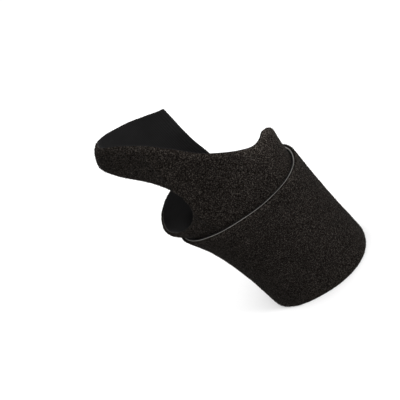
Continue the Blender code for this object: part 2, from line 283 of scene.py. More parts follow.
def section(z):
    """Centre x, centre y, half width and half depth of the form at an array of heights."""
    height = np.asarray(z, float) / MM
    thumb, little, depth, centre_y = (
        smooth_through(FORM, column, height) * MM for column in range(1, 5))
    return WRIST_X + (little - thumb) / 2, WRIST_Y + centre_y, (little + thumb) / 2, depth


def rounded(value):
    return np.sign(value) * np.abs(value) ** (2 / ROUNDNESS)


def form_point(angle, z, offset):
    """Points on the form raised by an offset."""
    centre_x, centre_y, half_width, half_depth = section(z)
    turn = np.radians(angle)
    x = centre_x + (half_width + offset) * rounded(np.cos(turn))
    y = centre_y + (half_depth + offset) * rounded(np.sin(turn))
    return np.stack([x, y, np.broadcast_to(z, np.shape(x))], axis=-1)


def layer_offset(angle):
    """Offset of the laminate's skin side from the form at a winding angle."""
    span = STEP_UP[1] - STEP_UP[0]
    first = ease((angle - STEP_UP[0]) / span)
    second = ease((angle - 360 - STEP_UP[0]) / span)
    lift = ease((angle - FLAP_LIFT[0]) / (FLAP_LIFT[1] - FLAP_LIFT[0]))
    return TURN_STEP * (first + second) + FLAP_LIFT_HEIGHT * lift


def angle_at_x(x, z, offset):
    """Winding angle of the second turn's end where the raised form crosses x."""
    centre_x, _, half_width, _ = section(z)
    reach = float(np.clip((WRIST_X + x - centre_x) / (half_width + offset), -1, 1))
    return 720 + math.degrees(math.acos(math.copysign(abs(reach) ** (ROUNDNESS / 2), reach)))


def normal_at(angle, z, offset):
    """Outward unit normal of the form."""
    step_angle, step_z = 0.05, 0.05 * MM
    along = form_point(angle + step_angle, z, offset) - form_point(angle - step_angle, z, offset)
    upward = form_point(angle, z + step_z, offset) - form_point(angle, z - step_z, offset)
    normal = np.cross(along, upward)
    return normal / np.linalg.norm(normal, axis=-1, keepdims=True)


def swell(angle, z, place):
    """Soft in-and-out waviness of the laminate; the wound cuff lies almost still."""
    clear = ease((z - CUFF_HEIGHT - SWELL_CLEARANCE) / SWELL_RISE)
    wound = CUFF_SWELL * ease((angle - CUFF_SWELL_START) / CUFF_SWELL_FADE)
    share = np.where(angle < FIRST_TURN_END, clear, wound)
    return share * relief(place, SWELL) + relief(place, SWELL_SMALL)


def finger_edge(angle):
    level = smooth_through(FINGER_EDGE, 1, angle) * MM
    return level + relief_along(angle, FINGER_EDGE_WAVES)


def window(value, rise, fall):
    """1 between two soft steps, each given as (start, end), and 0 outside them."""
    up = ease((value - rise[0]) / (rise[1] - rise[0]))
    return up * (1 - ease((value - fall[0]) / (fall[1] - fall[0])))


def cuff_edge(angle):
    """Finger-side edge of the second turn: cut straight, drawn down a little over the palm."""
    sag = EDGE_SAG * window(angle, SAG_STARTS, SAG_ENDS)
    return CUFF_HEIGHT - sag + relief_along(angle, CUFF_EDGE_WAVES)


def upper_edge(angle):
    """Finger-side edge anywhere on the strip."""
    angle = np.asarray(angle, float)
    share = ease((angle - EDGE_JOIN) / (SEAM_STEP - EDGE_JOIN))
    first_turn = finger_edge(np.minimum(angle, FINGER_EDGE[-1, 0]))
    return first_turn * (1 - share) + cuff_edge(angle) * share


def hole_edge(angle, side):
    """Height of the thumb hole's edge: side is -1 below, 1 above and 0 in the middle."""
    share = np.clip(np.where(
        angle < HOLE_MIDDLE,
        (angle - HOLE_MIDDLE) / (HOLE_MIDDLE - HOLE_START),
        (angle - HOLE_MIDDLE) / (HOLE_END - HOLE_MIDDLE)), -1, 1)
    centre = HOLE_CENTRE - HOLE_SLANT * share - HOLE_DROOP * np.minimum(share, 0) ** 2
    full = np.maximum(1 - np.abs(share) ** HOLE_ROUNDNESS, 0.0) ** (1 / HOLE_ROUNDNESS)
    if side == 0:
        return centre
    if side > 0:
        return centre + HOLE_HALF_ABOVE * full
    spread = np.abs(share - HOLE_SAG_CENTRE) / HOLE_SAG_REACH
    return centre - HOLE_HALF_BELOW * full - HOLE_SAG * ease(1 - spread)


# ------------ flat nets of the pieces

class Net:
    """Quads over the strip: each corner is a winding angle and a height."""

    def __init__(self):
        self.places = []
        self.index = {}
        self.quads = []

    def corner(self, angle, z):
        key = (round(float(angle) * 1e4), round(float(z) * 1e7))
        if key not in self.index:
            self.index[key] = len(self.places)
            self.places.append((float(angle), float(z)))
        return self.index[key]

    def add(self, columns):
        """Adds a patch: columns of (angle, height), all with the same number of rows."""
        grid = [[self.corner(angle, z) for angle, z in column] for column in columns]
        for left, right in zip(grid, grid[1:]):
            for row in range(len(left) - 1):
                quad = [left[row], right[row], right[row + 1], left[row + 1]]
                quad = list(dict.fromkeys(quad))
                if len(quad) > 2:
                    self.quads.append(quad)

    def border(self):
        """Border edges, each in the direction of its quad."""
        edges = {}
        for quad in self.quads:
            for here, after in zip(quad, quad[1:] + quad[:1]):
                edges[(here, after)] = True
        return [edge for edge in edges if (edge[1], edge[0]) not in edges]


def rows_between(low, high, count):
    """Heights from low to high, closer together beside both ends."""
    scale = min(1.0, (high - low) / 3 / EDGE_STEPS[-1])
    start = [low] + [low + step * scale for step in EDGE_STEPS]
    end = [high - step * scale for step in reversed(EDGE_STEPS)] + [high]
    first, last = start[-1], end[0]
    middle = [first + (last - first) * step / count for step in range(1, count)]
    return start + middle + end


def even_columns(first, last, spacing, start_cut=False):
    """Angles from first to last, about a spacing apart along the strip."""
    length = math.radians(abs(last - first)) * COLUMN_RADIUS
    count = max(2, round(length / spacing))
    angles = [first + (last - first) * step / count for step in range(count + 1)]
    if start_cut:
        degrees = [math.degrees(step / MEAN_RADIUS) for step in EDGE_STEPS]
        angles = [first] + [first + step for step in degrees] + [
            angle for angle in angles if angle > first + degrees[-1] + 0.3]
    return angles


def hole_columns(first, last, spacing):
    """Angles across the thumb hole, crowded towards its rounded ends."""
    count = max(12, round(HOLE_LENGTH / spacing))
    columns = set()
    for end in (HOLE_START, HOLE_END):
        for step in range(count + 1):
            share = math.sin(math.pi / 2 * step / count) ** (2 / HOLE_ROUNDNESS)
            columns.add(round(HOLE_MIDDLE + (end - HOLE_MIDDLE) * share, 4))
    inside = sorted(angle for angle in columns if first + 0.05 < angle < last - 0.05)
    return [first, *inside, last]


def split_counts(spacing):
    """Rows below and above the level of the thumb hole's ends."""
    return max(6, round(BELOW_HOLE / spacing)), max(4, round(ABOVE_HOLE / spacing))


def tall_rows(angle, share, middle, spacing):
    """Rows of a whole column, split at a share of its height or at a stated level."""
    low_rows, high_rows = split_counts(spacing)
    top = float(upper_edge(angle))
    middle = top * share if middle is None else middle
    return rows_between(0.0, middle, low_rows) + rows_between(middle, top, high_rows)[1:]


def add_holed(net, first, last, spacing):
    """Strip below and above the thumb hole, between two angles that are in it."""
    low_rows, high_rows = split_counts(spacing)
    below, above = [], []
    for angle in hole_columns(first, last, spacing):
        level = float(hole_edge(angle, 0))
        closed = angle in (HOLE_START, HOLE_END)
        floor = level if closed else float(hole_edge(angle, -1))
        roof = level if closed else float(hole_edge(angle, 1))
        low = rows_between(0.0, floor, low_rows)
        high = rows_between(roof, float(upper_edge(angle)), high_rows)
        below.append([(angle, z) for z in low])
        above.append([(angle, z) for z in high])
    net.add(below)
    net.add(above)


def hole_level_share(angle):
    return float(hole_edge(angle, 0)) / float(upper_edge(angle))


def add_tall(net, first, last, spacing, hole_end, start_cut=False):
    """Whole-height strip beside the thumb hole; its rows meet the hole's end."""
    share = hole_level_share(hole_end)
    columns = []
    for angle in even_columns(first, last, spacing, start_cut):
        level = float(hole_edge(hole_end, 0)) if angle == hole_end else None
        columns.append([(angle, z) for z in tall_rows(angle, share, level, spacing)])
    net.add(columns)


def start_net(spacing):
    net = Net()
    add_tall(net, START_ANGLE, HOLE_START, spacing, HOLE_START, start_cut=True)
    add_holed(net, HOLE_START, SEAM_START, spacing)
    return net


def palm_net(spacing):
    net = Net()
    add_holed(net, SEAM_START, HOLE_END, spacing)
    add_tall(net, HOLE_END, SEAM_BACK, spacing, HOLE_END)
    return net


def cuff_net(first, last):
    """A stretch past the thumb hole; its rows meet the palm's and the next stretch's."""
    def make(spacing):
        net = Net()
        share = hole_level_share(HOLE_END)
        net.add([[(angle, z) for z in tall_rows(angle, share, None, spacing)]
                 for angle in even_columns(first, last, spacing)])
        return net
    return make


def flap_tip():
    """Winding angle of the closing flap's end, and its place across."""
    angle = angle_at_x(FLAP_END_X, CUFF_HEIGHT / 2, 2 * TURN_STEP)
    return angle, float(form_point(angle, CUFF_HEIGHT / 2, 2 * TURN_STEP)[0])


def flap_rise(angle):
    """How far the flap's rounded corners have eaten into its height at an angle."""
    here = float(form_point(angle, CUFF_HEIGHT / 2, 2 * TURN_STEP)[0])
    reach = min(max((here - flap_tip()[1]) / FLAP_CORNER, 0.0), 1.0)
    return FLAP_CORNER * (1 - math.sqrt(max(1 - (1 - reach) ** 2, 0.0)))


def flap_net(spacing):
    """The closing flap, whose free corners are rounded."""
    net = Net()
    end = flap_tip()[0]
    share = hole_level_share(HOLE_END)
    low_rows, high_rows = split_counts(spacing)
    straight = max(a for a in even_columns(SEAM_FLAP, end, spacing) if flap_rise(a) == 0.0)
    angles = [a for a in even_columns(SEAM_FLAP, end, spacing) if a <= straight]
    corner = max(10, round(CORNER_LENGTH / spacing))
    angles += [straight + (end - straight) * math.sin(math.pi / 2 * step / corner)
               for step in range(1, corner + 1)]
    columns = []
    for angle in angles:
        rise, top = flap_rise(angle), float(upper_edge(angle))
        middle = rise + (top - 2 * rise) * share
        rows = rows_between(rise, middle, low_rows)
        rows += rows_between(middle, top - rise, high_rows)[1:]
        columns.append([(angle, z) for z in rows])
    net.add(columns)
    return net


# ------------ solid layers from nets

def roll_share(angle, z):
    """1 where free edges are pressed thin: the first turn, above the cuff."""
    fade = 1 - ease((angle - ROLL_FADE[0]) / (ROLL_FADE[1] - ROLL_FADE[0]))
    return fade * ease((z - ROLL_START) / ROLL_RISE)


def layer_heights(layer, angle, z, edge):
    """Lowest and highest offset of a layer, given the distance from the nearest edge."""
    low, high = LAYERS[layer]
    nearness = 1 - np.clip(edge / ROLL_WIDTH, 0, 1)
    quarter = 1 - np.sqrt(1 - nearness ** 2)
    foam_low, foam_high = LAYERS["foam"]
    rolled = roll_share(angle, z)
    drop = rolled * quarter * (foam_high - foam_low - LAYER_GAP)
    drop = drop + (1 - rolled) * quarter ** 1.5 * EDGE_DROP
    pinch = (1 - rolled) * quarter * EDGE_PINCH
    lows = np.full(np.shape(angle), low)
    highs = np.full(np.shape(angle), high)
    if layer == "face":
        return lows - drop - pinch, highs - drop
    if layer == "foam":
        return lows + pinch / 2, highs - drop - pinch
    return lows, highs + pinch / 2


def stitch_box():
    """First and last winding angle, lowest and highest place of the box of stitching."""
    inset = math.degrees(STITCH_INSET / MEAN_RADIUS)
    return (HOOK_ANGLES[0] + inset / 2, flap_tip()[0] - inset,
            HOOK_MARGIN + STITCH_END_INSET, CUFF_HEIGHT - HOOK_MARGIN - STITCH_END_INSET)


def stitch_groove(angle, z):
    """How far the stitching pulls the loop face down, about its lines."""
    first, last, low, high = stitch_box()
    off_side = np.minimum(np.abs(angle - first), np.abs(angle - last))
    off_side = np.radians(off_side) * MEAN_RADIUS
    off_end = np.minimum(np.abs(z - low), np.abs(z - high))
    past = np.maximum(first - angle, angle - last)
    past = np.radians(np.maximum(past, 0)) * MEAN_RADIUS
    over = np.maximum(np.maximum(low - z, z - high), 0)
    gap = np.minimum(np.hypot(off_side, over), np.hypot(off_end, past))
    return GROOVE_DEPTH * np.exp(-(gap / GROOVE_WIDTH) ** 2)


def layer_points(layer, angle, z, edge):
    """Inner and outer points of a layer, and the normals they were raised along."""
    skin = layer_offset(angle)
    normals = normal_at(angle, z, skin)
    place = form_point(angle, z, skin + LAMINATE / 2)
    low, high = layer_heights(layer, angle, z, edge)
    wave = swell(angle, z, place)
    if layer == "face":
        high = high + relief(place, PILE) - stitch_groove(angle, z)
    if layer == "lining":
        low = low + relief(place, LINING_KNIT)
    inner = form_point(angle, z, skin + low) + wave[:, None] * normals
    outer = form_point(angle, z, skin + high) + wave[:, None] * normals
    return inner, outer, normals


def edge_distances(net, cut_edges):
    """Distance of each corner of a net from the nearest cut edge."""
    places = np.array(net.places)
    points = form_point(places[:, 0], places[:, 1], layer_offset(places[:, 0]))
    samples = []
    for here, after in cut_edges:
        for share in (0.0, 0.33, 0.67):
            samples.append(points[here] * (1 - share) + points[after] * share)
    tree = kdtree.KDTree(len(samples))
    for index, sample in enumerate(samples):
        tree.insert(sample, index)
    tree.balance()
    return np.array([tree.find(point)[2] for point in points])


def seam_normals(layer, angle, z, edge, outside):
    """Normals of a layer's surface on a seam, the same for both pieces that meet there."""
    side = 1 if outside else 0
    turn, rise = math.degrees(SPACING[layer] / MEAN_RADIUS), SPACING[layer]
    ahead, behind = (layer_points(layer, angle + step, z, edge)[side] for step in (turn, -turn))
    above, below = (layer_points(layer, angle, z + step, edge)[side] for step in (rise, -rise))
    normal = np.cross(ahead - behind, above - below)
    normal /= np.linalg.norm(normal, axis=1, keepdims=True)
    return normal if outside else -normal


def rim_points(layer, inner, outer, normals, cut, rim):
    """Rings of points that round off the cut edge, from the inner side to the outer."""
    following, preceding = dict(cut), {after: here for here, after in cut}
    middle = (inner + outer) / 2
    sideways = []
    for corner in rim:
        after, before = following.get(corner, corner), preceding.get(corner, corner)
        side = np.cross(middle[after] - middle[before], normals[corner])
        sideways.append(side / max(np.linalg.norm(side), 1e-12))
    bulge = np.minimum(np.linalg.norm(outer[rim] - inner[rim], axis=1) / 2, RIM_BULGE)
    if layer == "foam":
        bulge *= FOAM_BULGE
    return [inner[rim] * (1 - share) + outer[rim] * share
            + np.array(sideways) * (bulge * reach)[:, None] for share, reach in RIM_RINGS]


def rungs(corner, count, rim_index):
    """Numbers of the rim's points at a corner, from the inner side to the outer."""
    if corner not in rim_index:
        return []
    first = 2 * count + rim_index[corner]
    return [first + ring * len(rim_index) for ring in range(len(RIM_RINGS))]


def rim_wall(here, after, count, rim_index):
    """Quads across the rounded rim, along one cut edge."""
    left = [here, *rungs(here, count, rim_index), here + count]
    right = [after, *rungs(after, count, rim_index), after + count]
    return [[left[step], right[step], right[step + 1], left[step + 1]]
            for step in range(len(left) - 1)]


def seam_wall(here, after, count, rim_index):
    """Wall across a seam; where it meets a cut edge it takes in the rim's points."""
    return [here, after, *rungs(after, count, rim_index), after + count,
            here + count, *reversed(rungs(here, count, rim_index))]


def layer_mesh(name, net, layer):
    """A closed sheet over a net, with rounded cut edges and flush seams."""
    places = np.array(net.places)
    angle, z = places[:, 0], places[:, 1]
    count = len(places)
    on_seam = np.isin(angle, SEAMS)
    border = net.border()
    cut = [edge for edge in border if not (on_seam[edge[0]] and on_seam[edge[1]])]
    seam = [edge for edge in border if on_seam[edge[0]] and on_seam[edge[1]]]
    rim = sorted({corner for edge in cut for corner in edge})
    rim_index = {corner: place for place, corner in enumerate(rim)}
    edge = edge_distances(net, cut)
    inner, outer, normals = layer_points(layer, angle, z, edge)
    rings = rim_points(layer, inner, outer, normals, cut, rim)
    faces = [quad[::-1] for quad in net.quads]
    faces += [[corner + count for corner in quad] for quad in net.quads]
    for here, after in cut:
        faces += rim_wall(here, after, count, rim_index)
    seam_walls = len(faces)
    faces += [seam_wall(here, after, count, rim_index) for here, after in seam]
    points = np.concatenate([inner, outer, *rings])
    mesh = bpy.data.meshes.new(name)
    mesh.from_pydata(points.tolist(), [], faces)
    mesh.shade_smooth()
    for wall in range(seam_walls, len(faces)):
        mesh.polygons[wall].use_smooth = False
    add_strip_uv(mesh, np.concatenate([places, places] + [places[rim]] * len(rings)))
    add_rest(mesh, points)
    # Edge wear, and a painted highlight on the heel of the palm
    wear_and_highlight_share = wear_and_heel_highlight(angle, edge)
    add_wear_and_highlight(mesh, np.concatenate([wear_and_highlight_share, wear_and_highlight_share] + [wear_and_highlight_share[rim]] * len(rings)))
    match_seam_normals(mesh, layer, places, edge, np.nonzero(on_seam)[0])
    return mesh


def match_seam_normals(mesh, layer, places, edge, at):
    """Gives the corners on a seam the same normals as the piece on its other side has."""
    custom = np.zeros((len(mesh.vertices), 3))
    angle, z = places[at].T
    custom[at] = seam_normals(layer, angle, z, edge[at], False)
    custom[at + len(places)] = seam_normals(layer, angle, z, edge[at], True)
    mesh.normals_split_custom_set_from_vertices(custom.tolist())


def add_strip_uv(mesh, places):
    """UV map in metres: along the strip, and up it."""
    layer = mesh.uv_layers.new(name="strip")
    corners = np.zeros(len(mesh.loops), np.int32)
    mesh.loops.foreach_get("vertex_index", corners)
    along = np.radians(places[corners, 0]) * MEAN_RADIUS
    layer.data.foreach_set("uv", np.stack([along, places[corners, 1]], 1).ravel())


def add_attribute(mesh, name, kind, field, values):
    attribute = mesh.attributes.new(name, kind, "POINT")
    attribute.data.foreach_set(field, np.asarray(values, np.float32).ravel())


def add_rest(mesh, points):
    """Each point's place at rest, so that grain stays put when a piece bends."""
    add_attribute(mesh, "rest", "FLOAT_VECTOR", "vector", points)


def add_wear_and_highlight(mesh, values):
    """How pale each point is made, from 0 to 1: edge wear, and a painted highlight on the heel of
    the palm.
    """
    add_attribute(mesh, "wear_and_highlight", "FLOAT", "value", values)


def read(items, field, width):
    """One field of a mesh's items, as rows of a given width."""
    values = np.zeros(len(items) * width)
    items.foreach_get(field, values)
    return values.reshape(-1, width)


def link(thing):
    """Puts an object in the scene."""
    bpy.context.scene.collection.objects.link(thing)
    return thing


def wear_and_heel_highlight(angle, edge):
    """Rubbing along cut edges, and a stronger painted highlight along the edges on the heel of the
    palm.
    """
    heel = window(angle, HEEL_STARTS, HEEL_ENDS) * np.exp(-edge / HEEL_HIGHLIGHT_REACH)
    return np.clip(RUB * np.exp(-edge / RUB_REACH) + HEEL_HIGHLIGHT * heel, 0, 1)


def add_piece(name, mesh, material):
    piece = link(bpy.data.objects.new(name, mesh))
    piece.data.materials.append(material)
    return piece


# ------------ materials

class Look:
    """A material's node tree, with short ways to add nodes."""

    def __init__(self, name, roughness, specular):
        self.material = bpy.data.materials.new(name)
        self.material.use_nodes = True
        self.nodes, self.links = self.material.node_tree.nodes, self.material.node_tree.links
        self.nodes.clear()
        output = self.nodes.new("ShaderNodeOutputMaterial")
        self.shader = self.nodes.new("ShaderNodeBsdfPrincipled")
        self.links.new(self.shader.outputs["BSDF"], output.inputs["Surface"])
        self.shader.inputs["Roughness"].default_value = roughness
        self.shader.inputs["Specular IOR Level"].default_value = specular

    def feed(self, socket, value):
        if isinstance(value, bpy.types.NodeSocket):
            self.links.new(value, socket)
        else:
            socket.default_value = value

    def add(self, kind, **inputs):
        """Adds a node; an input is a value or another node's output."""
        node = self.nodes.new("ShaderNode" + kind)
        for name, value in inputs.items():
            self.feed(node.inputs[name], value)
        return node

    def attribute(self, name, output):
        node = self.add("Attribute")
        node.attribute_name = name
        return node.outputs[output]

    def worn_and_highlit(self, colour, gain):
        """A colour made paler by edge wear and by the painted highlight on the heel of the palm;
        gain is the paling where these are full.
        """
        wear_and_highlight_share = self.attribute("wear_and_highlight", "Fac")
        return self.times(colour, self.ramp(wear_and_highlight_share, (0.0, 1.0), (1.0, gain)))

    def strip(self):
        """Places along and up the strip, in metres."""
        node = self.add("UVMap")
        node.uv_map = "strip"
        split = self.add("SeparateXYZ", Vector=node.outputs["UV"])
        return split.outputs["X"], split.outputs["Y"]

    def noise(self, scale, detail=3.0, roughness=0.6):
        rest = self.attribute("rest", "Vector")
        return self.add("TexNoise", Vector=rest, Scale=scale, Detail=detail,
                        Roughness=roughness).outputs["Fac"]

    def cells(self, scale):
        rest = self.attribute("rest", "Vector")
        return self.add("TexVoronoi", Vector=rest, Scale=scale).outputs["Distance"]

    def ramp(self, value, *stops):
        """Grey or coloured ramp through (position, colour) stops."""
        node = self.add("ValToRGB", Fac=value)
        elements = node.color_ramp.elements
        while len(elements) < len(stops):
            elements.new(0.5)
        for element, (position, colour) in zip(elements, stops):
            element.position = position
            colour = (colour,) * 3 if isinstance(colour, float) else colour
            element.color = (*colour, 1.0)
        return node.outputs["Color"]

    def math(self, operation, *values):
        node = self.add("Math")
        node.operation = operation
        for socket, value in zip(node.inputs, values):
            self.feed(socket, value)
        return node.outputs["Value"]

    def times(self, first, second):
        """One colour multiplied by another."""
        node = self.add("Mix")
        node.data_type = "RGBA"
        node.blend_type = "MULTIPLY"
        sockets = {socket.identifier: socket for socket in node.inputs}
        sockets["Factor_Float"].default_value = 1.0
        self.links.new(first, sockets["A_Color"])
        self.links.new(second, sockets["B_Color"])
        return next(s for s in node.outputs if s.identifier == "Result_Color")

    def wave(self, place, pitch):
        return self.math("SINE", self.math("MULTIPLY", place, 2 * math.pi / pitch))

    def colour(self, value):
        self.links.new(value, self.shader.inputs["Base Color"])

    def sheen(self, weight, roughness):
        self.shader.inputs["Sheen Weight"].default_value = weight
        self.shader.inputs["Sheen Roughness"].default_value = roughness

    def bump(self, height, strength, distance):
        node = self.add("Bump", Height=height, Strength=strength, Distance=distance)
        self.links.new(node.outputs["Normal"], self.shader.inputs["Normal"])


def loop_pile_look():
    """Brushed black loop pile: matted nubs; its colour speckle is partly random tone and partly
    painted light, pale highlights on fibre tips and shaded gaps.
    """
    look = Look("loop_pile", 1.0, 0.02)
    tips = look.noise(1450, 3.5, 0.70)
    # Speckle: random tone, with painted highlights on fibre tips and painted shade in the gaps
    # between them
    speckle_and_painted_glints = look.ramp(
        tips, (0.38, (0.0009, 0.0007, 0.0005)), (0.52, (0.0054, 0.0044, 0.0036)),
        (0.67, (0.041, 0.036, 0.032)))
    patches = look.ramp(look.noise(55), (0.35, 0.86), (0.70, 1.14))
    # Edge wear and the painted heel highlight make the colour paler
    look.colour(look.worn_and_highlit(look.times(speckle_and_painted_glints, patches), 2.8))
    nubs = look.math("MULTIPLY", look.noise(600, 2.0, 0.5), 1.4)
    look.bump(look.math("ADD", tips, nubs), 0.9, 0.0004)
    return look.material


def loop_yarn_look():
    """Crimped black nylon of the loops, some strands paler than others."""
    look = Look("loop_yarn", 0.7, 0.15)
    strands = look.noise(1200, 2.0, 0.6)
    look.colour(look.worn_and_highlit(look.ramp(
        strands, (0.36, (0.0012, 0.0009, 0.0007)), (0.52, (0.0065, 0.0053, 0.0044)),
        (0.66, (0.048, 0.041, 0.036))), 2.8))
    return look.material


def foam_look():
    """Cut foam rubber: grey with fine open cells."""
    look = Look("foam_rubber", 0.88, 0.25)
    cells = look.cells(3000)
    grain = look.ramp(look.noise(260), (0.3, (0.210, 0.203, 0.188)), (0.7, (0.320, 0.310, 0.290)))
    look.colour(look.times(grain, look.ramp(cells, (0.1, 1.0), (0.8, 0.55))))
    look.bump(cells, 0.5, 0.0002)
    return look.material


def lining_look():
    """Black jersey lining: fine knit columns and courses."""
    look = Look("jersey_lining", 0.85, 0.08)
    along, up = look.strip()
    wobble = look.math("MULTIPLY", look.noise(400, 2.0, 0.5), 0.0005)
    columns = look.wave(look.math("ADD", along, wobble), 0.00085)
    courses = look.wave(look.math("ADD", up, wobble), 0.00062)
    knit = look.math("MULTIPLY_ADD", look.math("ADD", columns, courses), 0.22, 0.5)
    base = look.ramp(knit, (0.1, (0.0036, 0.0035, 0.0036)), (0.9, (0.0105, 0.0102, 0.0104)))
    look.colour(look.times(base, look.ramp(look.noise(45), (0.3, 0.8), (0.7, 1.2))))
    look.sheen(0.015, 0.4)
    look.bump(knit, 0.35, 0.00012)
    return look.material


def tape_look():
    """Woven ground of the hook tape."""
    look = Look("hook_ground", 0.6, 0.35)
    along, up = look.strip()
    weave = look.math("MULTIPLY", look.wave(along, 0.0008), look.wave(up, 0.0006))
    shade = look.math("MULTIPLY_ADD", weave, 0.4, 0.5)
    look.colour(look.ramp(shade, (0.1, (0.006, 0.006, 0.0065)), (0.9, (0.018, 0.018, 0.0195))))
    look.bump(weave, 0.5, 0.0001)
    return look.material


def yarn_look(name, low, high, roughness):
    """Nylon yarn or monofilament with slight colour variation."""
    look = Look(name, roughness, 0.4)
    grain = look.noise(900, 2.0, 0.5)
    look.colour(look.ramp(grain, (0.3, low), (0.7, high)))
    look.bump(grain, 0.4, 0.0001)
    return look.material


def floor_look():
    look = Look("floor_paint", 0.9, 0.2)
    look.colour(look.ramp(look.noise(25), (0.3, 0.88), (0.7, 0.90)))
    return look.material


# ------------ pieces of the strip

# Each stretch: its net, the CAD panels it stands for, its bodies, and its fold as
# (joint, direction of the strip there, length of the bend before and past it)
STRETCHES = {
    "start": (start_net, ["start_flap"], ("brace", "start_flap"),
              ("start_flap_lift", (1, 0, 0), 5.5 * MM, 5.5 * MM)),
    "palm": (palm_net, ["thumb_base", "thumb_strap", "palm", "little_finger_side"],
             ("brace",), None),
    "back": (cuff_net(SEAM_BACK, SEAM_STEP), ["back"], ("brace", "back_panel"),
             ("unwind_back", (-1, 0, 0), 9 * MM, 9 * MM)),
    "outer_thumb_side": (
        cuff_net(SEAM_STEP, SEAM_THUMB), ["outer_thumb_side"],
        ("back_panel", "outer_thumb_side"), ("unwind_thumb_side", (-1, 0, 0), 8.5 * MM, 8.5 * MM)),
    "outer_palm": (
        cuff_net(SEAM_THUMB, SEAM_PALM), ["outer_palm"],
        ("outer_thumb_side", "outer_palm"), ("unwind_palm", (1, 0, 0), 8.5 * MM, 8.5 * MM)),
    "outer_ulnar_front": (
        cuff_net(SEAM_PALM, SEAM_ULNAR), ["outer_ulnar_front"],
        ("outer_palm", "outer_ulnar_front"), ("unwind_ulnar_front", (1, 0, 0), 8.5 * MM, 8.5 * MM)),
    "outer_ulnar_back": (
        cuff_net(SEAM_ULNAR, SEAM_FLAP), ["outer_ulnar_back"],
        ("outer_ulnar_front", "outer_ulnar_back"),
        ("unwind_ulnar_back", (0, 1, 0), 9 * MM, 9 * MM)),
    "closure_flap": (
        flap_net, ["closure_flap"], ("outer_ulnar_back", "closure_flap"),
        ("closure_peel", (-1, 0, 0), 0.5 * MM, 12 * MM)),
}
CAD_LAYER = {"face": "loop_face", "foam": "foam_core", "lining": "lining"}
PIECE = {"face": "loop_fabric", "foam": "foam_sheet", "lining": "lining_fabric"}


def bend_over_fold(piece, bodies, fold):
    """Lets a piece ride on its first body where there is no fold; where there is one, only bakes
    its placement into its mesh.
    """
    if fold is None:
        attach(piece, bodies[0])
        return
    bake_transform(piece)


def declare(layer):
    """Does nothing, for any layer."""
    if layer == "foam":
        return


def make_strip(materials):
    for name, (make_net, panels, bodies, fold) in STRETCHES.items():
        for layer in ("face", "foam", "lining"):
            net = make_net(SPACING[layer])
            title = f"{PIECE[layer]}_{name}"
            mesh = layer_mesh(title, net, layer)
            piece = add_piece(title, mesh, materials[layer])
            bend_over_fold(piece, bodies, fold)
            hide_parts(*[f"{CAD_LAYER[layer]}_{panel}" for panel in panels])
            declare(layer)
            pile = layer == "face" and make_pile(name, net, mesh, materials["loops"])
            if pile:
                bend_over_fold(pile, bodies, fold)


# ------------ loop pile

LOOP_PITCH = 1.05 * MM
LOOP_HEIGHT = 0.34 * MM
LOOP_SPAN = 0.62 * MM
LOOP_YARN = 0.075 * MM
LOOP_SINK = 0.10 * MM
LOOP_LEAN = 0.30 * MM
COVER_MARGIN = 0.4 * MM
PILE_SEED = 7


def is_covered(angle, z):
    """True where the next turn of the strip lies over the loop face."""
    over = angle + 360
    return (over < flap_tip()[0]) & (z < cuff_edge(over) + COVER_MARGIN)


def loop_shapes(roots, normals, rng):
    """Points and triangles of one small yarn loop standing on each root."""
    count = len(roots)
    guide = rng.normal(size=(count, 3))
    along = np.cross(normals, guide)
    along /= np.linalg.norm(along, axis=1, keepdims=True)
    across = np.cross(normals, along)
    size = rng.uniform(0.7, 1.15, (count, 1))
    lean = across * rng.uniform(-1, 1, (count, 1)) * LOOP_LEAN
    lean += along * rng.uniform(-1, 1, (count, 1)) * LOOP_LEAN
    rings = []
    for turn in (math.radians(42), math.radians(90), math.radians(138)):
        rise = math.sin(turn)
        centre = roots - along * math.cos(turn) * size * LOOP_SPAN / 2
        centre = centre + normals * (LOOP_HEIGHT * size * rise - LOOP_SINK) + lean * rise
        outward = along * -math.cos(turn) + normals * rise
        for side in range(3):
            spin = 2 * math.pi * side / 3
            rings.append(centre + LOOP_YARN * (
                math.cos(spin) * outward + math.sin(spin) * across))
    feet = [roots + along * side * size * LOOP_SPAN / 2 - normals * LOOP_SINK * 1.6
            for side in (-1, 1)]
    points = np.stack([feet[0], *rings, feet[1]], axis=1)
    triangles = []
    for side in range(3):
        here, after = 1 + side, 1 + (side + 1) % 3
        triangles += [(0, after, here), (10, here + 6, after + 6)]
        for ring in (0, 3):
            triangles += [(here + ring, after + ring, after + ring + 3),
                          (here + ring, after + ring + 3, here + ring + 3)]
    start = np.arange(count)[:, None, None] * points.shape[1]
    return points.reshape(-1, 3), (np.array(triangles)[None] + start).reshape(-1, 3)


def triangle_mesh(name, points, triangles):
    mesh = bpy.data.meshes.new(name)
    mesh.vertices.add(len(points))
    mesh.vertices.foreach_set("co", points.astype(np.float32).ravel())
    mesh.loops.add(triangles.size)
    mesh.loops.foreach_set("vertex_index", triangles.astype(np.int32).ravel())
    mesh.polygons.add(len(triangles))
    mesh.polygons.foreach_set("loop_start", np.arange(0, triangles.size, 3, dtype=np.int32))
    mesh.update(calc_edges=True)
    mesh.shade_smooth()
    return mesh


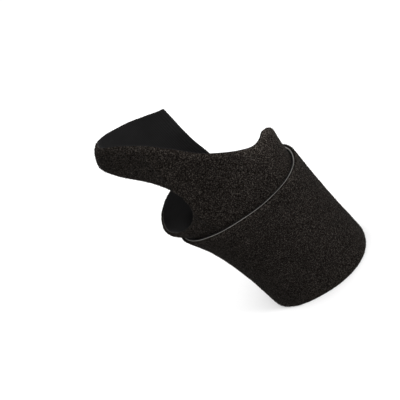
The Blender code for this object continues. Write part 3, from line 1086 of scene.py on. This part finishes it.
def make_pile(name, net, mesh, material):
    """Loops over the open part of a loop face, on corners of its net."""
    places = np.array(net.places)
    count = len(places)
    outer = slice(count, 2 * count)
    points = read(mesh.vertices, "co", 3)[outer]
    normals = read(mesh.vertices, "normal", 3)[outer]
    rng = np.random.default_rng(PILE_SEED + count)
    share = min(1.0, (SPACING["face"] / LOOP_PITCH) ** 2)
    sewn = stitch_groove(places[:, 0], places[:, 1]) > GROOVE_DEPTH / 2
    kept = (rng.random(count) < share) & ~is_covered(places[:, 0], places[:, 1]) & ~sewn
    if not kept.any():
        return None
    # The loops take over the face's edge wear and painted heel highlight
    wear_and_highlight = read(mesh.attributes["wear_and_highlight"].data, "value", 1)[outer, 0]
    shift = rng.normal(size=(kept.sum(), 3)) * SPACING["face"] * 0.3
    normals = normals[kept]
    shift -= normals * (shift * normals).sum(1, keepdims=True)
    loops, triangles = loop_shapes(points[kept] + shift, normals, rng)
    pile = triangle_mesh(f"pile_{name}", loops, triangles)
    add_rest(pile, loops)
    add_wear_and_highlight(pile, np.repeat(wear_and_highlight[kept], len(loops) // kept.sum()))
    return add_piece(f"pile_{name}", pile, material)


# ------------ hook tape and stitches

def tube(path, radius, sides, points, faces):
    """Adds a closed tube round a path to lists of points and faces."""
    path = np.asarray(path)
    steps = np.gradient(path, axis=0)
    start = len(points)
    guide = np.array([0.0, 0.0, 1.0])
    for place, step in zip(path, steps):
        step = step / np.linalg.norm(step)
        across = np.cross(step, guide)
        if np.linalg.norm(across) < 0.2:
            across = np.cross(step, np.array([1.0, 0.0, 0.0]))
        across /= np.linalg.norm(across)
        lift = np.cross(across, step)
        for side in range(sides):
            turn = 2 * math.pi * side / sides
            points.append(place + radius * (math.cos(turn) * across + math.sin(turn) * lift))
    for ring in range(len(path) - 1):
        for side in range(sides):
            here, after = start + ring * sides + side, start + ring * sides + (side + 1) % sides
            faces.append([here, after, after + sides, here + sides])
    faces.append([start + side for side in reversed(range(sides))])
    faces.append([start + (len(path) - 1) * sides + side for side in range(sides)])


def wire_piece(name, paths, radius, sides, material):
    points, faces = [], []
    for path in paths:
        tube(path, radius, sides, points, faces)
    mesh = bpy.data.meshes.new(name)
    mesh.from_pydata([tuple(point) for point in points], [], faces)
    mesh.shade_smooth()
    add_rest(mesh, points)
    return add_piece(name, mesh, material)


def make_hook_tape(materials):
    """Woven ground sewn under the flap, with rows of small J-shaped hooks."""
    first, last = HOOK_ANGLES
    low, high = HOOK_MARGIN, CUFF_HEIGHT - HOOK_MARGIN
    angles = even_columns(first, last, TAPE_SPACING)
    steps = round((high - low) / TAPE_SPACING)
    rows = [low + (high - low) * step / steps for step in range(steps + 1)]
    net = Net()
    net.add([[(angle, z) for z in rows] for angle in angles])
    places = np.array(net.places)
    mesh = tape_mesh(net, places)
    ground = add_piece("hook_tape_ground", mesh, materials["tape"])
    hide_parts("hook_tape")
    paths = []
    columns = even_columns(first + 1, last - 1, HOOK_PITCH)
    count = round((high - low) / HOOK_PITCH)
    for column, angle in enumerate(columns):
        for row in range(count):
            place = row + 0.5 + HOOK_STAGGER * (column % 2)
            z = low + (high - low) * place / (count + HOOK_STAGGER)
            paths.append(hook_path(angle, z, 1 if (row + column) % 2 else -1))
    hooks = wire_piece("hook_tape_hooks", paths, HOOK_WIRE, 4, materials["hook"])
    for piece in (ground, hooks):
        bend_over_fold(piece, *STRETCHES["closure_flap"][2:])


def tape_mesh(net, places):
    angle, z = places[:, 0], places[:, 1]
    skin = layer_offset(angle)
    normals = normal_at(angle, z, skin)
    wave = swell(angle, z, form_point(angle, z, skin + LAMINATE / 2))[:, None] * normals
    outer = form_point(angle, z, skin + TAPE_OVERLAP) + wave
    inner = form_point(angle, z, skin - HOOK_BASE) + wave
    count = len(places)
    faces = [quad[::-1] for quad in net.quads]
    faces += [[corner + count for corner in quad] for quad in net.quads]
    faces += [[here, after, after + count, here + count] for here, after in net.border()]
    mesh = bpy.data.meshes.new("hook_tape_ground")
    mesh.from_pydata(np.concatenate([inner, outer]).tolist(), [], faces)
    add_strip_uv(mesh, np.concatenate([places, places]))
    add_rest(mesh, np.concatenate([inner, outer]))
    return mesh


def hook_path(angle, z, lean):
    """One hook: up from the ground towards the skin, and over."""
    base = layer_offset(angle) - HOOK_BASE
    path = []
    for share in np.linspace(0, 1, 6):
        turn = math.pi * share
        rise = HOOK_HEIGHT * math.sin(min(turn, HOOK_TIP))
        shift = HOOK_REACH * lean * (1 - math.cos(turn)) / 2
        path.append(form_point(angle, z + shift, base - rise))
    return path


def stitch_places():
    """Ends of the stitches: a box just inside the flap's edges and its fold."""
    first, last, low, high = stitch_box()
    degrees = math.degrees(STITCH_PITCH / MEAN_RADIUS)
    length = math.degrees(STITCH_LENGTH / MEAN_RADIUS)
    count = round((high - low) / STITCH_PITCH)
    pitch = (high - low) / count
    for angle in (first, last):
        for step in range(count):
            start = low + pitch * (step + 0.1)
            yield (angle, start), (angle, start + STITCH_LENGTH)
    count = round((last - first) / degrees)
    pitch = (last - first) / count
    for z in (low, high):
        for step in range(count):
            start = first + pitch * (step + 0.1)
            yield (start, z), (start + length, z)


def make_stitches(materials):
    """Box of stitching that holds the hook tape, seen on the flap's loop face."""
    paths = []
    for (angle_a, z_a), (angle_b, z_b) in stitch_places():
        share = np.linspace(0, 1, 7)
        angle, z = angle_a + (angle_b - angle_a) * share, z_a + (z_b - z_a) * share
        _, outer, normals = layer_points("face", angle, z, np.full(7, ROLL_WIDTH))
        height = STITCH_RISE - STITCH_DIP * np.abs(2 * share - 1) ** 3
        paths.append(outer + normals * height[:, None])
    stitches = wire_piece("closure_stitches", paths, STITCH_WIRE, 6, materials["thread"])
    bend_over_fold(stitches, *STRETCHES["closure_flap"][2:])
    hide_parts("closure_thread")


# ------------ stage

CAMERA_AZIMUTH = math.radians(22.0)
CAMERA_ELEVATION = math.radians(27.04)
CAMERA_ROLL = math.radians(44.38)
CAMERA_DISTANCE = 0.460
CAMERA_LENS = 69.36
CAMERA_AIM = Vector((WRIST_X - 0.02623, WRIST_Y, 0.08561))
LIGHT_AIM = Vector((0, 0, 0.07))
WORLD_STRENGTH = 1.15
FLOOR_REACH = 3.0
KEY_LOWEST = 0.3

# Distance, size and power of the two lights
KEY_LIGHT = (0.9, 0.35, 8.0)
FILL_LIGHT = (1.1, 0.8, 3.5)


def add_camera():
    back = Vector((
        math.sin(CAMERA_AZIMUTH) * math.cos(CAMERA_ELEVATION),
        -math.cos(CAMERA_AZIMUTH) * math.cos(CAMERA_ELEVATION),
        math.sin(CAMERA_ELEVATION),
    ))
    right = Vector((math.cos(CAMERA_AZIMUTH), math.sin(CAMERA_AZIMUTH), 0.0))
    upward = back.cross(right)
    rolled_right = right * math.cos(CAMERA_ROLL) - upward * math.sin(CAMERA_ROLL)
    rolled_up = right * math.sin(CAMERA_ROLL) + upward * math.cos(CAMERA_ROLL)
    data = bpy.data.cameras.new("camera")
    data.lens = CAMERA_LENS
    data.sensor_width = 36.0
    data.clip_start = 0.01
    camera = link(bpy.data.objects.new("camera", data))
    place = CAMERA_AIM + back * CAMERA_DISTANCE
    turn = Matrix((rolled_right, rolled_up, back)).transposed()
    camera.matrix_world = Matrix.Translation(place) @ turn.to_4x4()
    bpy.context.scene.camera = camera
    return back, rolled_right, rolled_up


def add_area_light(name, direction, distance, size, power):
    data = bpy.data.lights.new(name, "AREA")
    data.shape = "DISK"
    data.size = size
    data.energy = power
    light = link(bpy.data.objects.new(name, data))
    light.location = LIGHT_AIM + direction.normalized() * distance
    light.rotation_mode = "QUATERNION"
    light.rotation_quaternion = direction.to_track_quat("Z", "Y")


def add_stage():
    back, right, upward = add_camera()
    world = bpy.data.worlds.new("studio")
    world.use_nodes = True
    background = world.node_tree.nodes["Background"]
    background.inputs["Color"].default_value = (1.0, 1.0, 1.0, 1.0)
    background.inputs["Strength"].default_value = WORLD_STRENGTH
    bpy.context.scene.world = world
    bpy.context.scene.view_settings.view_transform = "Standard"
    key = back * 0.60 + right * 0.95 + upward * 0.10
    key.z = max(key.z, KEY_LOWEST)
    add_area_light("key", key, *KEY_LIGHT)
    fill = Vector((0, 0, 0.9)) - right * 0.5 - back * 0.6
    add_area_light("fill", fill, *FILL_LIGHT)
    add_floor()


def add_floor():
    floor_mesh = bpy.data.meshes.new("floor")
    signs = ((-1, -1), (1, -1), (1, 1), (-1, 1))
    corners = [(across * FLOOR_REACH, along * FLOOR_REACH, 0) for across, along in signs]
    floor_mesh.from_pydata(corners, [], [(0, 1, 2, 3)])
    add_rest(floor_mesh, corners)
    add_piece("floor", floor_mesh, floor_look())


# ------------ the brace

def main():
    add_stage()
    materials = {
        "face": loop_pile_look(),
        "loops": loop_yarn_look(),
        "foam": foam_look(),
        "lining": lining_look(),
        "tape": tape_look(),
        "hook": yarn_look("hook_nylon", (0.010, 0.010, 0.011), (0.022, 0.022, 0.024), 0.4),
        "thread": yarn_look("sewing_thread", (0.008, 0.0075, 0.007), (0.02, 0.019, 0.018), 0.6),
    }
    make_strip(materials)
    make_hook_tape(materials)
    make_stitches(materials)


main()
